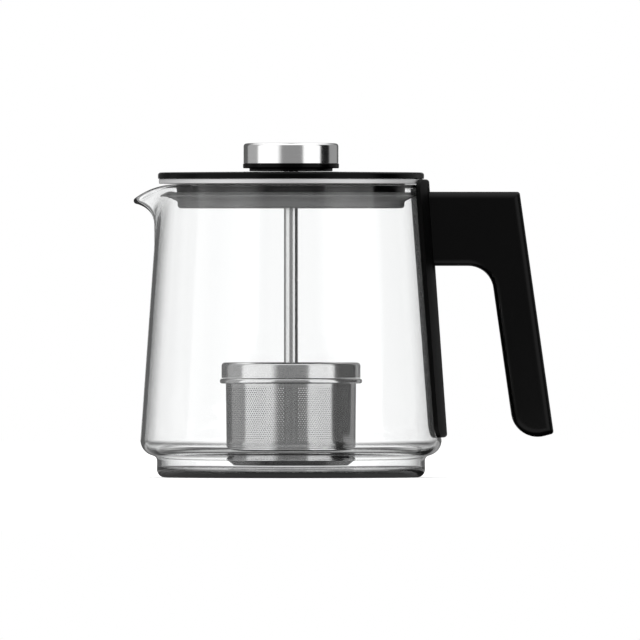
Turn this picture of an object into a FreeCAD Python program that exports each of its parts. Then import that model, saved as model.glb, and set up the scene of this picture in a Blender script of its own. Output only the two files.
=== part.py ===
import FreeCAD, Part
import math
import os

Vector = FreeCAD.Vector

# A glass tea maker: jug with spout and bonded handle, lid, and a tea basket on a lift rod.
# Lengths are in millimetres and angles in degrees. Z is the axis of jug, rod and basket, +X points
# from the axis to the handle, and the jug stands on z = 0.

least_round = 0.02              # of a corner on the inner side of a bent sheet
tiny = 1e-6

# Glass jug
jug_height = 146.5
rim_radius = 66.3
body_foot_radius = 75.775       # the cone's radius where it would meet the step
shoulder_radius = 8.0
foot_inset = 8.725              # of the foot's wall from the cone
foot_height = 10.2              # table to the step, at the foot's wall
step_slope = 0.35               # the step rises towards the cone
foot_crease_radius = 2.4
foot_edge_radius = 4.0
glass_wall = 2.0
foot_wall = 2.0                 # of the foot, and of the step above it
glass_floor = 2.4
rim_edge_share = 0.45           # of the wall, so that the rim is almost a full round

# Spout, pulled out of the rim towards -X. Its underside rolls over about a line along Y.
spout_projection = 12.8         # rim to lip
spout_lip_drop = 9.5            # rim to the underside of the lip
spout_root_depth = 0.5          # how far the underside starts inside the wall
spout_roll_angle = 86.0         # turn of the underside from the wall to the lip
spout_past_lip = 8.0            # further turn of the channel, which opens the lip
spout_root_nose = 9.0           # half-round at the bottom of the channel
spout_lip_nose = 5.0
spout_root_flare = 62.0         # half-angle of the channel's V
spout_lip_flare = 52.0
spout_channel_depth = 22.0      # from the bottom of the channel to its open side
spout_dip_run = 22.1            # from the lip back to where the rim starts to fall
spout_dip_radius = 34.0
spout_steps = 4

# Strap along the glass, and its bond
bond_gap = 0.8                  # glass to strap
bond_clearance = 0.1
bond_inset = 10.0               # from the strap's ends
bond_side_inset = 10.5
bond_corner = 6.0
strap_thickness = 2.1
strap_width = 51.0
strap_bottom = 20.0
strap_rise = 2.5                # above the glass rim
strap_corner = 6.5
strap_edge_outer = 1.7
strap_edge_inner = 0.3

# Handle: an arm out of the strap, and a leaning tail that is open at the bottom
arm_drop = 6.2                  # below the strap's top
arm_height = 37.05
arm_length = 44.8               # strap to the top outer corner
tail_lean = 8.04                # from the vertical
tail_thickness = 19.7
tail_end_height = 22.0          # outer bottom corner
tail_end_slant = 15.0
tail_inner_round = 12.7
tail_end_round = 13.3
handle_corner_round = 1.5
handle_width = 24.0
handle_edge_round = 4.0
handle_wall = 2.6
handle_seam = 0.3               # between strap and arm

# Grip cover in the finger side of the tail
cover_plate_width = 12.4
cover_plate_thickness = 1.3
cover_step = 1.5                # from the edge of the plate to the edge of the stem behind it
cover_top_drop = 17.75          # below the arm
cover_bottom_rise = 16.0        # above the tail's outer bottom corner
cover_fit = 0.12

# Tenon of the strap inside the arm, with its inserts and screws
tenon_length = 28.5
tenon_fit = 0.15
tenon_wall = 3.0
tenon_sole = 11.0               # solid stretch that takes the inserts
handle_screw_first = 10.5       # strap to the first screw
handle_screw_pitch = 11.0
handle_screw_count = 2
handle_screw_radius = 1.95
handle_screw_length = 10.0
handle_head_radius = 3.7
handle_head_depth = 2.1
screw_fit = 0.1
insert_wall = 0.75
insert_length = 8.0
insert_fit = 0.05

# Lid
lid_seat_gap = 0.3              # trim ring to glass rim
trim_inset = 0.2                # from the outside of the rim
trim_height = 2.5
trim_sheet = 0.5
trim_lip_width = 3.6
trim_edge_round = 0.6
cover_overhang = 0.25           # past the outside of the rim
cover_edge_height = 3.2
cover_dome = 0.4
cover_edge_round = 1.4
cover_foot_round = 0.4
plug_neck_gap = 7.3             # plug to the inside of the rim
plug_neck_height = 5.6
plug_flange_gap = 0.05
plug_flange_side_gap = 0.3
plug_under_trim = 3.0           # overlap of the plug's neck and the ring's flat top
plug_wall = 2.4
plug_floor = 2.2
plug_lip_width = 2.0
plug_lip_height = 1.4
plug_edge_round = 0.4
plug_centre_wall = 2.5
seal_fit = 0.1
seal_inset = 0.3                # from the plug's neck
seal_thickness = 7.7
seal_height = 6.55
seal_under_plug = 0.45          # how far the seal reaches below the plug
seal_edge_round = 1.6
fin_rim_clearance = 0.3         # to the inside of the glass rim
fin_tip = 0.5
fin_tip_round = 0.15
fin_drop = 0.5                  # top of the seal to the middle of the fin's tip
fin_peak_inset = 3.8            # from the fin's tip
fin_peak_width = 0.5
fin_peak_rise = 1.9
fin_root_drop = 3.2
fin_root_round = 1.3
lid_screw_inset = 17.0          # from the outside of the plug's spigot
lid_screw_count = 4
lid_boss_radius = 4.4
lid_boss_gap = 0.1
cover_boss_height = 3.0
lid_screw_radius = 1.45
lid_screw_length = 9.0
lid_head_radius = 2.75
lid_head_height = 2.0
lid_head_recess = 7.0           # underside of the plug to the head's seat

# Guide bush in the lid, its clip and the grip ring
rod_running_fit = 0.07
bush_wall = 2.43
bush_fit = 0.1
bush_flange_width = 2.0
bush_flange_height = 1.5
bush_top_gap = 0.9              # below the top of the cover
clip_thickness = 0.7
clip_width = 2.95
clip_groove_depth = 0.75
clip_side_fit = 0.1
grip_section_radius = 0.72
grip_groove_width = 2.0
grip_groove_depth = 1.55
grip_height = 7.0               # above the plug's underside

# Knob
knob_seat_gap = 0.2             # neck to lid cover
knob_cap_radius = 23.75
knob_cap_height = 10.1
knob_cap_sheet = 0.7
knob_cap_round = 1.6
knob_cap_fit = 0.15
knob_neck_inset = 2.95          # from the cap's side
knob_neck_height = 1.45
knob_neck_round = 0.3
knob_flange_step = 0.25
knob_flange_height = 2.45
knob_flange_round = 0.5
knob_spigot_height = 5.0
knob_spigot_wall = 2.3
knob_floor = 1.6
knob_centre_wall = 5.0
knob_rod_depth = 7.0            # how far the rod reaches up from the underside of the neck
knob_web = 1.5
knob_washer_thickness = 0.8
knob_washer_width = 2.55
knob_screw_radius = 1.95
knob_head_radius = 3.6
knob_head_height = 2.3
knob_thread_depth = 9.0
contact_gap = 0.05

# Lift rod: two etched rings and the threaded end
rod_radius = 3.5
ring_mark_lifts = (36.05, 58.75)  # lift at which each ring comes level with the lid's underside
ring_mark_depth = 0.12
ring_mark_width = 0.8
rod_stud_step = 1.05
rod_stud_length = 5.3

# Tea basket
basket_sheet = 0.6
basket_floor_gap = 3.55         # to the glass floor
basket_height = 43.55
mesh_sheet = 0.4
mesh_top_radius = 32.6
mesh_taper = 0.35
mesh_rise = 6.35                # above the basket's bottom
mesh_fit = 0.1
mesh_below_bead_top = 0.3
pan_inset = 0.25                # from the foot of the mesh
pan_flat_inset = 3.5
pan_bead_bottom = 2.9          # heights above the basket's bottom
pan_bead_top = 5.0
pan_groove_height = 5.9
pan_groove_depth = 0.6
pan_skirt_height = 9.4
pan_round = 1.2
hub_radius = 7.5
hub_slope_run = 2.1
hub_height = 4.2
bead_height = 2.6
bead_width = 2.9
bead_round = 1.15
bead_inner_round = 0.2
rod_washer_radius = 6.4
rod_washer_thickness = 1.0
rod_nut_flats = 8.0
rod_nut_height = 3.0

# Cap of the basket, and its grommet
cap_seat_gap = 0.25
cap_inset = 0.85                # from the outside of the basket's rim
cap_height = 7.8
cap_round = 1.8
cap_dimple_rim = 2.4            # grommet to the edge of the dimple
cap_dimple_depth = 0.8
cap_dimple_round = 0.4
cap_dimple_slope = 0.9
grommet_rod_gap = 0.3
grommet_wall = 2.2
grommet_flange_width = 1.6
grommet_top_gap = 0.1
grommet_lip = 1.1
grommet_fit = 0.05
grommet_round = 0.3

# Worked out from the sizes above
shoulder_height = foot_height + step_slope * foot_inset
cone_slope = (body_foot_radius - rim_radius) / (jug_height - shoulder_height)
cone_stretch = math.hypot(1.0, cone_slope)
glass_side = glass_wall * cone_stretch
rim_inner_radius = rim_radius - glass_side
foot_radius = body_foot_radius - foot_inset
spout_reach = rim_radius + spout_projection
spout_dip_start = spout_reach - spout_dip_run
strap_outer_gap = bond_gap + strap_thickness
strap_top = jug_height + strap_rise
arm_top = strap_top - arm_drop
arm_bottom = arm_top - arm_height
arm_root = rim_radius + (jug_height - arm_top) * cone_slope + strap_outer_gap * cone_stretch
arm_reach = arm_root + arm_length
insert_radius = handle_screw_radius + screw_fit + insert_wall
handle_screw_reaches = [arm_root + handle_screw_first + i * handle_screw_pitch
                        for i in range(handle_screw_count)]
trim_radius = rim_radius - trim_inset
trim_lip_inner_radius = trim_radius - trim_lip_width
trim_bottom = jug_height + lid_seat_gap
trim_top = trim_bottom + trim_height
cover_radius = rim_radius + cover_overhang
cover_edge_top = trim_top + cover_edge_height
cover_top_centre = cover_edge_top + cover_dome
plug_neck_radius = rim_inner_radius - plug_neck_gap
plug_flange_radius = trim_lip_inner_radius - plug_flange_side_gap
plug_flange_top = trim_top - trim_sheet - plug_flange_gap
plug_shoulder = trim_bottom - plug_neck_height
seal_radius = plug_neck_radius - seal_inset
plug_spigot_radius = seal_radius - seal_thickness
plug_lip_radius = plug_spigot_radius + plug_lip_width
seal_top = plug_shoulder - seal_fit
seal_bottom = seal_top - seal_height
plug_bottom = seal_bottom + seal_under_plug
fin_radius = rim_inner_radius - fin_rim_clearance
fin_peak_radius = fin_radius - fin_peak_inset
lid_screw_circle = plug_spigot_radius - lid_screw_inset
lid_head_seat = plug_bottom + lid_head_recess
bush_bore = rod_radius + rod_running_fit
bush_radius = bush_bore + bush_wall
bush_flange_radius = bush_radius + bush_flange_width
plug_centre_radius = bush_flange_radius + plug_centre_wall
clip_seat = plug_flange_top - clip_thickness - clip_side_fit
grip_level = plug_bottom + grip_height
knob_neck_radius = knob_cap_radius - knob_neck_inset
knob_flange_radius = knob_cap_radius + knob_flange_step
knob_centre_radius = rod_radius + knob_centre_wall
knob_bottom = cover_top_centre + knob_seat_gap
knob_flange_bottom = knob_bottom + knob_neck_height
knob_flange_top = knob_flange_bottom + knob_flange_height
knob_cap_bottom = knob_flange_top + contact_gap
knob_top = knob_cap_bottom + knob_cap_height
rod_top = knob_bottom + knob_rod_depth
knob_web_bottom = rod_top + contact_gap
knob_web_top = knob_web_bottom + knob_web
knob_washer_seat = knob_web_top + contact_gap
knob_screw_seat = knob_washer_seat + knob_washer_thickness + contact_gap
basket_bottom = glass_floor + basket_floor_gap
bead_top = basket_bottom + basket_height
mesh_bottom = basket_bottom + mesh_rise
mesh_bottom_radius = mesh_top_radius - mesh_taper
pan_radius = mesh_bottom_radius - pan_inset
bead_inner_radius = mesh_top_radius + mesh_fit
bead_radius = bead_inner_radius + bead_width
hub_under = basket_bottom + hub_height
hub_top = hub_under + basket_sheet
rod_stud_radius = rod_radius - rod_stud_step
rod_stud_hole = rod_stud_radius + contact_gap
rod_shoulder = hub_top + rod_washer_thickness + 2 * contact_gap
cap_radius = bead_radius - cap_inset
cap_bottom = bead_top + cap_seat_gap
cap_top = cap_bottom + cap_height
grommet_bore = rod_radius + grommet_rod_gap
cap_hole_radius = grommet_bore + grommet_wall
grommet_flange_radius = cap_hole_radius + grommet_flange_width
cap_dimple_radius = grommet_flange_radius + cap_dimple_rim


# Drawing helpers

def corner_cut(before, here, after):
    """Unit directions out of a corner, and its half-angle."""
    back = (before - here).normalize()
    onward = (after - here).normalize()
    cosine = max(-1.0, min(1.0, back.dot(onward)))
    return back, onward, 0.5 * math.acos(cosine)


def rounded_outline(corners, place):
    """A closed wire through (u, v, radius) corners; place turns u and v into a point in space.

    Two rounds that would overlap on a side share it."""
    count = len(corners)
    points = [Vector(corner[0], corner[1], 0) for corner in corners]
    cuts = []
    for i in range(count):
        back, onward, half = corner_cut(points[i - 1], points[i], points[(i + 1) % count])
        cuts.append(corners[i][2] / math.tan(half) if corners[i][2] > 0 else 0.0)
    shares = [1.0] * count
    for i in range(count):
        j = (i + 1) % count
        side = points[i].distanceToPoint(points[j])
        used = cuts[i] + cuts[j]
        if used > side:
            shares[i] = min(shares[i], side / used)
            shares[j] = min(shares[j], side / used)
    edges = []
    ends = []
    for i in range(count):
        back, onward, half = corner_cut(points[i - 1], points[i], points[(i + 1) % count])
        cut = cuts[i] * shares[i]
        start = points[i] + back * cut
        end = points[i] + onward * cut
        if cut > 0:
            radius = cut * math.tan(half)
            inward = (back + onward).normalize()
            middle = points[i] + inward * (radius / math.sin(half) - radius)
            edges.append(Part.Arc(place(start), place(middle), place(end)).toShape())
        ends.append((start, end))
    for i in range(count):
        start = ends[i][1]
        end = ends[(i + 1) % count][0]
        if start.distanceToPoint(end) > tiny:
            edges.append(Part.makeLine(place(start), place(end)))
    return Part.Wire(Part.__sortEdges__(edges))


def on_xz(point):
    """Outline coordinates (u, v) as x and z."""
    return Vector(point.x, 0, point.y)


def on_yz(point):
    """Outline coordinates (u, v) as y and z."""
    return Vector(0, point.x, point.y)


def turned(corners):
    """A solid of revolution about Z of an outline given as (radius, height, corner radius)."""
    face = Part.Face(rounded_outline(corners, on_xz))
    return face.revolve(Vector(0, 0, 0), Vector(0, 0, 1), 360)


def shifted_path(corners, distance, closed):
    """The path moved to its left by a distance, with each round kept concentric."""
    count = len(corners)
    points = [Vector(corner[0], corner[1], 0) for corner in corners]
    sides = []
    for i in range(count if closed else count - 1):
        along = (points[(i + 1) % count] - points[i]).normalize()
        sides.append((along, Vector(-along.y, along.x, 0)))
    moved = []
    for i in range(count):
        if not closed and i == 0:
            point = points[0] + sides[0][1] * distance
            moved.append((point.x, point.y, 0))
            continue
        if not closed and i == count - 1:
            point = points[i] + sides[-1][1] * distance
            moved.append((point.x, point.y, 0))
            continue
        along_in, left_in = sides[i - 1]
        along_out, left_out = sides[i]
        turn = along_in.cross(along_out).z
        reach = distance / (1 + left_in.dot(left_out))
        point = points[i] + (left_in + left_out) * reach
        radius = corners[i][2]
        if radius > 0:
            radius = max(radius - math.copysign(distance, turn), least_round)
        moved.append((point.x, point.y, radius))
    return moved


def turned_sheet(path, thickness):
    """A turned piece of sheet: path is one face, and the sheet lies to its left."""
    other = shifted_path(path, thickness, False)
    return turned(path + other[::-1])


def cylinder(radius, bottom, top, x=0.0, y=0.0):
    return Part.makeCylinder(radius, top - bottom, Vector(x, y, bottom))


def box(x_low, x_high, y_low, y_high, z_low, z_high):
    return Part.makeBox(x_high - x_low, y_high - y_low, z_high - z_low, Vector(x_low, y_low, z_low))


def washer(outer, inner, bottom, top):
    return cylinder(outer, bottom, top).cut(cylinder(inner, bottom - 1, top + 1))


def line_crossing(point, along, other, other_along):
    """Where two lines in the outline plane cross."""
    cross = along[0] * other_along[1] - along[1] * other_along[0]
    gap = (other[0] - point[0], other[1] - point[1])
    step = (gap[0] * other_along[1] - gap[1] * other_along[0]) / cross
    return point[0] + along[0] * step, point[1] + along[1] * step


def round_pattern(shape, count):
    """Copies of a shape, evenly spaced about Z."""
    copies = []
    for i in range(count):
        copy = shape.copy()
        copy.rotate(Vector(0, 0, 0), Vector(0, 0, 1), 360.0 * i / count)
        copies.append(copy)
    return copies


# Jug

def glass_radius(height):
    """Outside radius of the glass cone at a height."""
    return rim_radius + (jug_height - height) * cone_slope


def jug_outer_body():
    rim_edge = rim_edge_share * glass_wall
    return turned([
        (0, 0, 0),
        (foot_radius, 0, foot_edge_radius),
        (foot_radius, foot_height, foot_crease_radius),
        (body_foot_radius, shoulder_height, shoulder_radius),
        (rim_radius, jug_height, rim_edge),
        (0, jug_height, 0),
    ])


def jug_cavity():
    """The inside of the jug: parallel to the outside, open at the top, with a rounded rim."""
    rim_edge = rim_edge_share * glass_wall
    inner_foot = foot_radius - foot_wall
    step = foot_height + foot_wall * (math.hypot(1, step_slope) - step_slope)
    shoulder = ((step + step_slope * (rim_inner_radius + cone_slope * jug_height - inner_foot))
                / (1 + step_slope * cone_slope))
    flared = rim_inner_radius + 2 * rim_edge
    above = jug_height + 2 * glass_wall
    return turned([
        (0, glass_floor, 0),
        (inner_foot, glass_floor, foot_edge_radius - foot_wall / 2),
        (inner_foot, step, foot_crease_radius + foot_wall),
        (glass_radius(shoulder) - glass_side, shoulder, shoulder_radius - foot_wall),
        (rim_inner_radius, jug_height, rim_edge),
        (flared, jug_height, 0),
        (flared, above, 0),
        (0, above, 0),
    ])


def spout_roll():
    """Centre (x, z) and radius of the round that the spout's underside follows."""
    end_cosine = math.cos(math.radians(spout_roll_angle))
    grown = spout_projection - cone_slope * spout_lip_drop + spout_root_depth
    radius = grown / (1 - end_cosine + cone_slope)
    return -(spout_reach + radius * end_cosine), jug_height - spout_lip_drop - radius, radius


def spout_section(angle, inset):
    """One V-shaped section of the spout, in the plane through the roll centre at an angle."""
    centre_x, centre_z, radius = spout_roll()
    share = angle / spout_roll_angle
    nose = spout_root_nose + (spout_lip_nose - spout_root_nose) * share
    flare = math.radians(spout_root_flare + (spout_lip_flare - spout_root_flare) * share)
    nose_centre = radius + nose
    nose_radius = nose - inset
    reach = radius + spout_channel_depth
    side = (nose_radius + (reach - nose_centre) * math.sin(flare)) / math.cos(flare)
    along = Vector(math.cos(math.radians(angle)), 0, math.sin(math.radians(angle)))
    origin = Vector(centre_x, 0, centre_z)

    def place(distance, y):
        return origin + along * distance + Vector(0, y, 0)

    touch_distance = nose_centre - nose_radius * math.sin(flare)
    touch_y = nose_radius * math.cos(flare)
    low_end = place(reach, -side)
    low_touch = place(touch_distance, -touch_y)
    tip = place(nose_centre - nose_radius, 0)
    high_touch = place(touch_distance, touch_y)
    high_end = place(reach, side)
    return Part.Wire([
        Part.makeLine(low_end, low_touch),
        Part.Arc(low_touch, tip, high_touch).toShape(),
        Part.makeLine(high_touch, high_end),
        Part.makeLine(high_end, low_end),
    ])


def spout_body(inset, last_angle):
    """The spout, or with an inset its channel, from the wall to an angle past the lip."""
    wires = [spout_section(last_angle * step / spout_steps, inset) for step in range(spout_steps + 1)]
    return Part.makeLoft(wires, True, False)


def spout_top_cutter():
    """What lies above the falling rim of the spout."""
    far = spout_reach + spout_dip_radius
    centre_height = jug_height - spout_dip_radius
    block = box(-far, -spout_dip_start, -far, far, centre_height, jug_height + far)
    roll = Part.makeCylinder(
        spout_dip_radius, 2 * far, Vector(-spout_dip_start, -far, centre_height), Vector(0, 1, 0))
    return block.cut(roll)


def jug_glass():
    outer = jug_outer_body().fuse(spout_body(0, spout_roll_angle))
    inner = jug_cavity().fuse(spout_body(glass_wall, spout_roll_angle + spout_past_lip))
    glass = outer.cut(inner).cut(spout_top_cutter())
    above = box(-2 * spout_reach, 2 * spout_reach, -2 * spout_reach, 2 * spout_reach,
                jug_height, 2 * jug_height)
    return glass.cut(above).Solids[0]


# Strap and handle

def cone_band(inner_gap, outer_gap, bottom, top, outer_edge, inner_edge):
    """A ring that follows the glass cone, between two gaps from it."""
    inner = inner_gap * cone_stretch
    outer = outer_gap * cone_stretch
    return turned([
        (glass_radius(bottom) + inner, bottom, inner_edge),
        (glass_radius(bottom) + outer, bottom, outer_edge),
        (glass_radius(top) + outer, top, outer_edge),
        (glass_radius(top) + inner, top, inner_edge),
    ])


def cone_core(gap, bottom, top):
    """Everything inside a cone at a gap from the glass, a little past two heights."""
    low = bottom - 1
    high = top + 1
    return turned([
        (0, low, 0),
        (glass_radius(low) + gap * cone_stretch, low, 0),
        (glass_radius(high) + gap * cone_stretch, high, 0),
        (0, high, 0),
    ])


def front_slab(width, bottom, top, corner):
    """A slab along +X with rounded corners, which cuts a strip out of a ring."""
    wire = rounded_outline([
        (-width / 2, bottom, corner),
        (width / 2, bottom, corner),
        (width / 2, top, corner),
        (-width / 2, top, corner),
    ], on_yz)
    return Part.Face(wire).extrude(Vector(2 * arm_reach, 0, 0))


def strap_adhesive():
    bottom = strap_bottom + bond_inset
    top = strap_top - bond_inset
    band = cone_band(bond_clearance, bond_gap - bond_clearance, bottom, top, 0, 0)
    return band.common(front_slab(strap_width - 2 * bond_side_inset, bottom, top, bond_corner))


def handle_strap():
    band = cone_band(bond_gap, strap_outer_gap, strap_bottom, strap_top, strap_edge_outer, strap_edge_inner)
    strip = band.common(front_slab(strap_width, strap_bottom, strap_top, strap_corner))
    half = handle_width / 2 - handle_wall - tenon_fit
    low = arm_bottom + handle_wall + tenon_fit
    high = arm_top - handle_wall - tenon_fit
    reach = arm_root + tenon_length
    tenon = box(rim_radius / 2, reach, -half, half, low, high).cut(cone_core(bond_gap, low, high))
    root = glass_radius(low) + strap_outer_gap * cone_stretch + tenon_wall
    pocket = box(root, reach + 1, -half + tenon_wall, half - tenon_wall,
                 low + tenon_sole, high - tenon_wall)
    strap = strip.fuse(tenon).cut(pocket)
    for screw_reach in handle_screw_reaches:
        strap = strap.cut(cylinder(insert_radius + insert_fit, low - 1,
                                   low + insert_length + insert_fit, screw_reach))
    return strap.removeSplitter().Solids[0]


def tail_direction():
    """Down along the tail, and from the finger side towards the outside, in the x-z plane."""
    lean = math.radians(tail_lean)
    return (math.sin(lean), -math.cos(lean)), (math.cos(lean), math.sin(lean))


def tail_inner_point(height):
    """The point of the tail's finger side at a height, on its straight line."""
    lean = math.radians(tail_lean)
    outer = arm_reach + (arm_top - height) * math.tan(lean)
    return outer - tail_thickness / math.cos(lean), height


def handle_corners(root):
    """Outline of arm and tail, anticlockwise, with the arm's root at x = root."""
    lean = math.radians(tail_lean)
    slant = math.radians(tail_end_slant)
    down, across = tail_direction()
    end_outer = (arm_reach + (arm_top - tail_end_height) * math.tan(lean), tail_end_height)
    inner_top = tail_inner_point(arm_bottom)
    end_inner = line_crossing(inner_top, down, end_outer, (math.cos(slant), math.sin(slant)))
    return [
        (root, arm_bottom, 0),
        (inner_top[0], inner_top[1], tail_inner_round),
        (end_inner[0], end_inner[1], tail_end_round),
        (end_outer[0], end_outer[1], handle_corner_round),
        (arm_reach, arm_top, handle_corner_round),
        (root, arm_top, 0),
    ]


def tail_block(depth_low, depth_high, width, top, bottom):
    """A block in the tail, measured from its finger side, between two heights."""
    down, across = tail_direction()
    start = tail_inner_point(top)
    length = (top - bottom) / -down[1]
    corners = []
    for depth, step in ((depth_low, 0), (depth_high, 0), (depth_high, length), (depth_low, length)):
        corners.append(Vector(start[0] + across[0] * depth + down[0] * step, -width / 2,
                              start[1] + across[1] * depth + down[1] * step))
    wire = Part.makePolygon(corners + corners[:1])
    return Part.Face(wire).extrude(Vector(0, width, 0))


def cover_block(depth_low, depth_high, inset):
    """A block in the window of the grip cover, smaller all round by an inset."""
    return tail_block(depth_low, depth_high, cover_plate_width - 2 * inset,
                      arm_bottom - cover_top_drop - inset, tail_end_height + cover_bottom_rise + inset)


def handle_shell():
    root = rim_radius / 2
    half = handle_width / 2
    wire = rounded_outline(handle_corners(root), on_xz)
    wire.translate(Vector(0, -half, 0))
    body = Part.Face(wire).extrude(Vector(0, handle_width, 0))
    rims = []
    for edge in body.Edges:
        low = edge.BoundBox
        if low.YLength < tiny and low.XMax > root + 1:
            rims.append(edge)
    body = body.makeFillet(handle_edge_round, rims)
    cavity_half = half - handle_wall
    cavity_corners = shifted_path(handle_corners(root - 2 * handle_wall), handle_wall, True)
    cavity_wire = rounded_outline(cavity_corners, on_xz)
    cavity_wire.translate(Vector(0, -cavity_half, 0))
    cavity = Part.Face(cavity_wire).extrude(Vector(0, 2 * cavity_half, 0))
    shell = body.cut(cavity)
    shell = shell.cut(cone_core(strap_outer_gap + handle_seam, arm_bottom, arm_top))
    shell = shell.cut(cover_block(-1, cover_plate_thickness, 0))
    shell = shell.cut(cover_block(0, handle_wall + 1, cover_step))
    for reach in handle_screw_reaches:
        shell = shell.cut(screw_countersink(reach))
    return shell.Solids[0]


def screw_countersink(reach):
    """The countersunk hole through the arm's underside."""
    hole = cylinder(handle_screw_radius + screw_fit, arm_bottom - 1, arm_bottom + handle_wall + 1, reach)
    cone = Part.makeCone(handle_head_radius + screw_fit, handle_screw_radius + screw_fit,
                         handle_head_depth + screw_fit, Vector(reach, 0, arm_bottom))
    return hole.fuse(cone)


def handle_cover():
    """A plate in the finger side of the tail, with a stem that locates it in the window."""
    plate = cover_block(0, cover_plate_thickness - cover_fit, cover_fit)
    stem = cover_block(cover_plate_thickness / 2, handle_wall, cover_step + cover_fit)
    return plate.fuse(stem).removeSplitter().Solids[0]


def handle_inserts():
    low = arm_bottom + handle_wall + tenon_fit
    bore = handle_screw_radius + screw_fit
    inserts = []
    for reach in handle_screw_reaches:
        insert = cylinder(insert_radius, low, low + insert_length, reach)
        inserts.append(insert.cut(cylinder(bore, low - 1, low + insert_length + 1, reach)))
    return Part.makeCompound(inserts)


def handle_screws():
    screws = []
    drive = hexagon_prism(handle_screw_radius, handle_head_depth)
    for reach in handle_screw_reaches:
        head = Part.makeCone(handle_head_radius, handle_screw_radius, handle_head_depth,
                             Vector(reach, 0, arm_bottom))
        shank = cylinder(handle_screw_radius, arm_bottom + handle_head_depth,
                         arm_bottom + handle_screw_length, reach)
        socket = drive.copy()
        socket.translate(Vector(reach, 0, arm_bottom - handle_head_depth / 2))
        screws.append(head.fuse(shank).cut(socket).removeSplitter().Solids[0])
    return Part.makeCompound(screws)


def hexagon_prism(flat_distance, height):
    """A six-sided prism about Z, standing on z = 0, with this distance across its flats."""
    radius = flat_distance / math.sqrt(3)
    points = []
    for i in range(7):
        angle = math.radians(60 * i)
        points.append(Vector(radius * math.cos(angle), radius * math.sin(angle), 0))
    return Part.Face(Part.makePolygon(points)).extrude(Vector(0, 0, height))


# Lid

def lid_cover():
    plate = turned([
        (bush_radius + 2 * bush_fit, trim_top, 0),
        (cover_radius, trim_top, cover_foot_round),
        (cover_radius, cover_edge_top, cover_edge_round),
        (knob_neck_radius, cover_top_centre, 0),
        (bush_radius + 2 * bush_fit, cover_top_centre, 0),
    ])
    boss = cylinder(lid_boss_radius, trim_top - cover_boss_height, trim_top, lid_screw_circle)
    pilot = cylinder(lid_screw_radius + screw_fit, trim_top - cover_boss_height - 1,
                     lid_head_seat + lid_screw_length + screw_fit, lid_screw_circle)
    for boss_copy in round_pattern(boss, lid_screw_count):
        plate = plate.fuse(boss_copy)
    for pilot_copy in round_pattern(pilot, lid_screw_count):
        plate = plate.cut(pilot_copy)
    return plate.removeSplitter().Solids[0]


def lid_trim_ring():
    """A pressed channel: a flat top, a rounded outer wall and a short lip under it."""
    return turned_sheet([
        (trim_lip_inner_radius, trim_bottom, 0),
        (trim_radius, trim_bottom, trim_edge_round),
        (trim_radius, trim_top, trim_edge_round),
        (plug_neck_radius - plug_under_trim, trim_top, 0),
    ], trim_sheet)


def lid_plug():
    boss_top = trim_top - cover_boss_height - lid_boss_gap
    above = plug_flange_top + 1
    below = plug_bottom - 1
    outer = turned([
        (0, plug_bottom, 0),
        (plug_lip_radius, plug_bottom, plug_edge_round),
        (plug_lip_radius, plug_bottom + plug_lip_height, plug_edge_round),
        (plug_spigot_radius, plug_bottom + plug_lip_height, 0),
        (plug_spigot_radius, plug_shoulder, 0),
        (plug_neck_radius, plug_shoulder, plug_edge_round),
        (plug_neck_radius, trim_bottom, 0),
        (plug_flange_radius, trim_bottom, 0),
        (plug_flange_radius, plug_flange_top, plug_edge_round),
        (0, plug_flange_top, 0),
    ])
    hollow = washer(plug_spigot_radius - plug_wall, plug_centre_radius, plug_bottom + plug_floor, above)
    for post in round_pattern(cylinder(lid_boss_radius, plug_bottom, boss_top, lid_screw_circle),
                              lid_screw_count):
        hollow = hollow.cut(post)
    plug = outer.cut(hollow)
    plug = plug.cut(cylinder(plug_centre_radius + 1, clip_seat - clip_side_fit, above))
    plug = plug.cut(cylinder(bush_radius + bush_fit, below, above))
    plug = plug.cut(cylinder(bush_flange_radius + bush_fit, below,
                             plug_bottom + bush_flange_height + bush_fit))
    recess = cylinder(lid_head_radius + 3 * screw_fit, below, lid_head_seat, lid_screw_circle)
    hole = cylinder(lid_screw_radius + 2 * screw_fit, below, above, lid_screw_circle)
    for cutter in round_pattern(recess.fuse(hole), lid_screw_count):
        plug = plug.cut(cutter)
    return plug.removeSplitter().Solids[0]


def lid_seal():
    """A soft sleeve round the plug, with a thin fin that nearly meets the glass."""
    inner = plug_spigot_radius + seal_fit
    lip = plug_lip_radius + seal_fit
    lip_top = plug_bottom + plug_lip_height + seal_fit
    tip = seal_top - fin_drop
    peak = tip + fin_peak_rise
    root = seal_top - fin_root_drop
    return turned([
        (lip, seal_bottom, 0),
        (seal_radius, seal_bottom, seal_edge_round),
        (seal_radius, root, fin_root_round),
        (fin_peak_radius, tip - 2 * fin_tip, fin_root_round),
        (fin_radius, tip - fin_tip / 2, fin_tip_round),
        (fin_radius, tip + fin_tip / 2, fin_tip_round),
        (fin_peak_radius, peak, fin_tip_round),
        (fin_peak_radius - fin_peak_width, peak, fin_tip_round),
        (fin_peak_radius - fin_peak_width, seal_top, fin_tip_round),
        (inner, seal_top, 0),
        (inner, lip_top, 0),
        (lip, lip_top, 0),
    ])


def lid_screws():
    head = cylinder(lid_head_radius, lid_head_seat - lid_head_height, lid_head_seat, lid_screw_circle)
    shank = cylinder(lid_screw_radius, lid_head_seat, lid_head_seat + lid_screw_length, lid_screw_circle)
    drive = hexagon_prism(lid_head_radius, lid_head_height)
    drive.translate(Vector(lid_screw_circle, 0, lid_head_seat - 1.5 * lid_head_height))
    screw = head.fuse(shank).cut(drive).removeSplitter().Solids[0]
    return Part.makeCompound(round_pattern(screw, lid_screw_count))


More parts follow.
